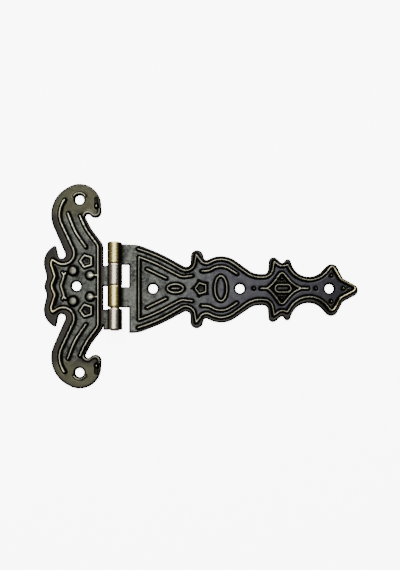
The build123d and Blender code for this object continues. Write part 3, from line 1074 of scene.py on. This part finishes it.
class HINGE_OT_pin(bpy.types.Operator):
    """Turn the hinge pin with its rounded ends"""

    bl_idname = "hinge.pin"
    bl_label = "Hinge Pin"

    def execute(self, context):
        low, high = PIN_BOX
        bpy.ops.object.select_all(action="DESELECT")
        bpy.ops.mesh.primitive_cylinder_add(
            vertices=PIN_SIDES, radius=PIN_R * MM, depth=high.y - low.y,
            location=(0, (low.y + high.y) / 2, PIN_Z * MM), rotation=(pi / 2, 0, 0))
        pin = context.active_object
        pin.name = "hinge_pin_rod"
        bpy.ops.object.transform_apply(location=True, rotation=True, scale=True)
        bpy.ops.object.mode_set(mode="EDIT")
        select_where(pin.data, "edges", lambda edge: any(map(is_end, edge.link_faces)))
        bpy.ops.mesh.bevel(offset=PIN_BEVEL, segments=5, affect="EDGES")
        select_where(pin.data, "faces", is_end)
        bpy.ops.mesh.inset(thickness=DIMPLE_BORDER, depth=-DIMPLE_DEPTH)
        bpy.ops.object.mode_set(mode="OBJECT")
        bpy.ops.object.shade_smooth_by_angle(angle=radians(40))
        pin.data.materials.append(drawn_brass("brass_plated_wire", context.scene.hinge_finish))
        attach(pin, "cross_plate")
        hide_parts("hinge_pin")
        return {"FINISHED"}


# The stage, in metres.
CAMERA_VIEW = 270.5 * MM        # height of the camera's view at the leaves
VIEW_CENTRE = (39.98 * MM, 1.66 * MM)
CAMERA_Y = -25 * MM             # the camera stands a little below the view's centre
FACE_Z = 1.5 * MM               # the leaves' face, where the view is measured
SENSOR = 36.0
FLOOR_Z = -0.05 * MM            # just under the leaves' backs
LAMP_AIM = Vector((0.04, 0, 0))

# Name, place, width, depth and share of the power.
LAMPS = (
    ("overhead_softbox", Vector((-0.02, 0.06, 0.60)), 0.55, 0.35, 0.8),
    ("rear_striplight", Vector((0.04, 0.50, 0.50)), 0.9, 0.2, 1.7),
)


def lay_floor(settings):
    """A backlit floor that gives the metal no light or reflection of its own."""
    bpy.ops.mesh.primitive_plane_add(size=settings.floor_size, location=(0, 0, FLOOR_Z))
    floor = bpy.context.active_object
    floor.name = "floor"
    bpy.ops.object.transform_apply(location=True)
    floor.data.materials.append(backlit_acrylic("backlit_white_acrylic", settings.backlight))
    floor.visible_glossy = False
    floor.visible_diffuse = False


def hang_backdrop(settings):
    """A backdrop that is white to the camera, but lights the metal only a little."""
    world = bpy.data.worlds.new("white_room")
    bpy.context.scene.world = world
    world.use_nodes = True
    tree = world.node_tree
    seen = add_node(tree, "ShaderNodeLightPath").outputs["Is Camera Ray"]
    strength = add_node(tree, "ShaderNodeMapRange",
                        {0: seen, 3: settings.room_light, 4: settings.backlight})
    backdrop = tree.nodes["Background"]
    backdrop.inputs["Color"].default_value = srgb("#ffffff")
    tree.links.new(strength.outputs[0], backdrop.inputs["Strength"])


def add_lamps(settings):
    """The softbox overhead and the long striplight behind."""
    for name, place, width, depth, share in LAMPS:
        bpy.ops.object.light_add(type="AREA", location=place)
        lamp = bpy.context.active_object
        lamp.name = name
        lamp.data.shape = "RECTANGLE"
        lamp.data.size = width
        lamp.data.size_y = depth
        lamp.data.energy = settings.lamp_power * share
        lamp.rotation_euler = (LAMP_AIM - place).to_track_quat("-Z", "Y").to_euler()


def add_camera(settings):
    """A camera that looks straight down, with its lens shifted up to the view's centre."""
    height = settings.camera_height
    bpy.ops.object.camera_add(location=(VIEW_CENTRE[0], CAMERA_Y, height + FACE_Z),
                              rotation=(0, 0, 0))
    camera = bpy.context.active_object
    camera.name = "camera"
    camera.data.sensor_width = SENSOR
    camera.data.lens = SENSOR * height / CAMERA_VIEW
    camera.data.shift_y = (VIEW_CENTRE[1] - CAMERA_Y) / CAMERA_VIEW
    camera.data.clip_start = 5 * MM
    camera.data.clip_end = 10
    bpy.context.scene.camera = camera


class HINGE_OT_stage(bpy.types.Operator):
    """Set the floor, the backdrop, the lamps and the camera"""

    bl_idname = "hinge.stage"
    bl_label = "Stage"

    def execute(self, context):
        settings = context.scene.hinge_stage
        bpy.ops.object.select_all(action="DESELECT")
        lay_floor(settings)
        hang_backdrop(settings)
        add_lamps(settings)
        add_camera(settings)
        return {"FINISHED"}


class HINGE_PT_panel(bpy.types.Panel):
    """Lists the hinge's pieces and settings"""

    bl_label = "Strap T-Hinge"
    bl_idname = "HINGE_PT_panel"
    bl_space_type = "VIEW_3D"
    bl_region_type = "UI"
    bl_category = "Hinge"

    def draw(self, context):
        for group in (context.scene.hinge_leaf, context.scene.hinge_finish,
                      context.scene.hinge_stage):
            for key in group.bl_rna.properties.keys():
                if key not in ("rna_type", "name"):
                    self.layout.prop(group, key)
        for operator in OPERATORS:
            self.layout.operator(operator.bl_idname)


SETTINGS = {
    "hinge_leaf": LeafSettings,
    "hinge_finish": FinishSettings,
    "hinge_stage": StageSettings,
}
OPERATORS = (HINGE_OT_strap_leaf, HINGE_OT_cross_plate, HINGE_OT_pin, HINGE_OT_stage)
CLASSES = (*SETTINGS.values(), *OPERATORS, HINGE_PT_panel)


def register():
    """Register the classes and give the scene their settings."""
    for cls in CLASSES:
        bpy.utils.register_class(cls)
    for key, group in SETTINGS.items():
        setattr(bpy.types.Scene, key, bpy.props.PointerProperty(type=group))


def unregister():
    """Undo register."""
    for key in SETTINGS:
        delattr(bpy.types.Scene, key)
    for cls in reversed(CLASSES):
        bpy.utils.unregister_class(cls)


def main():
    """Build the hinge and its stage."""
    register()
    bpy.ops.hinge.strap_leaf()
    bpy.ops.hinge.cross_plate()
    bpy.ops.hinge.pin()
    bpy.ops.hinge.stage()


if __name__ == "__main__":
    main()
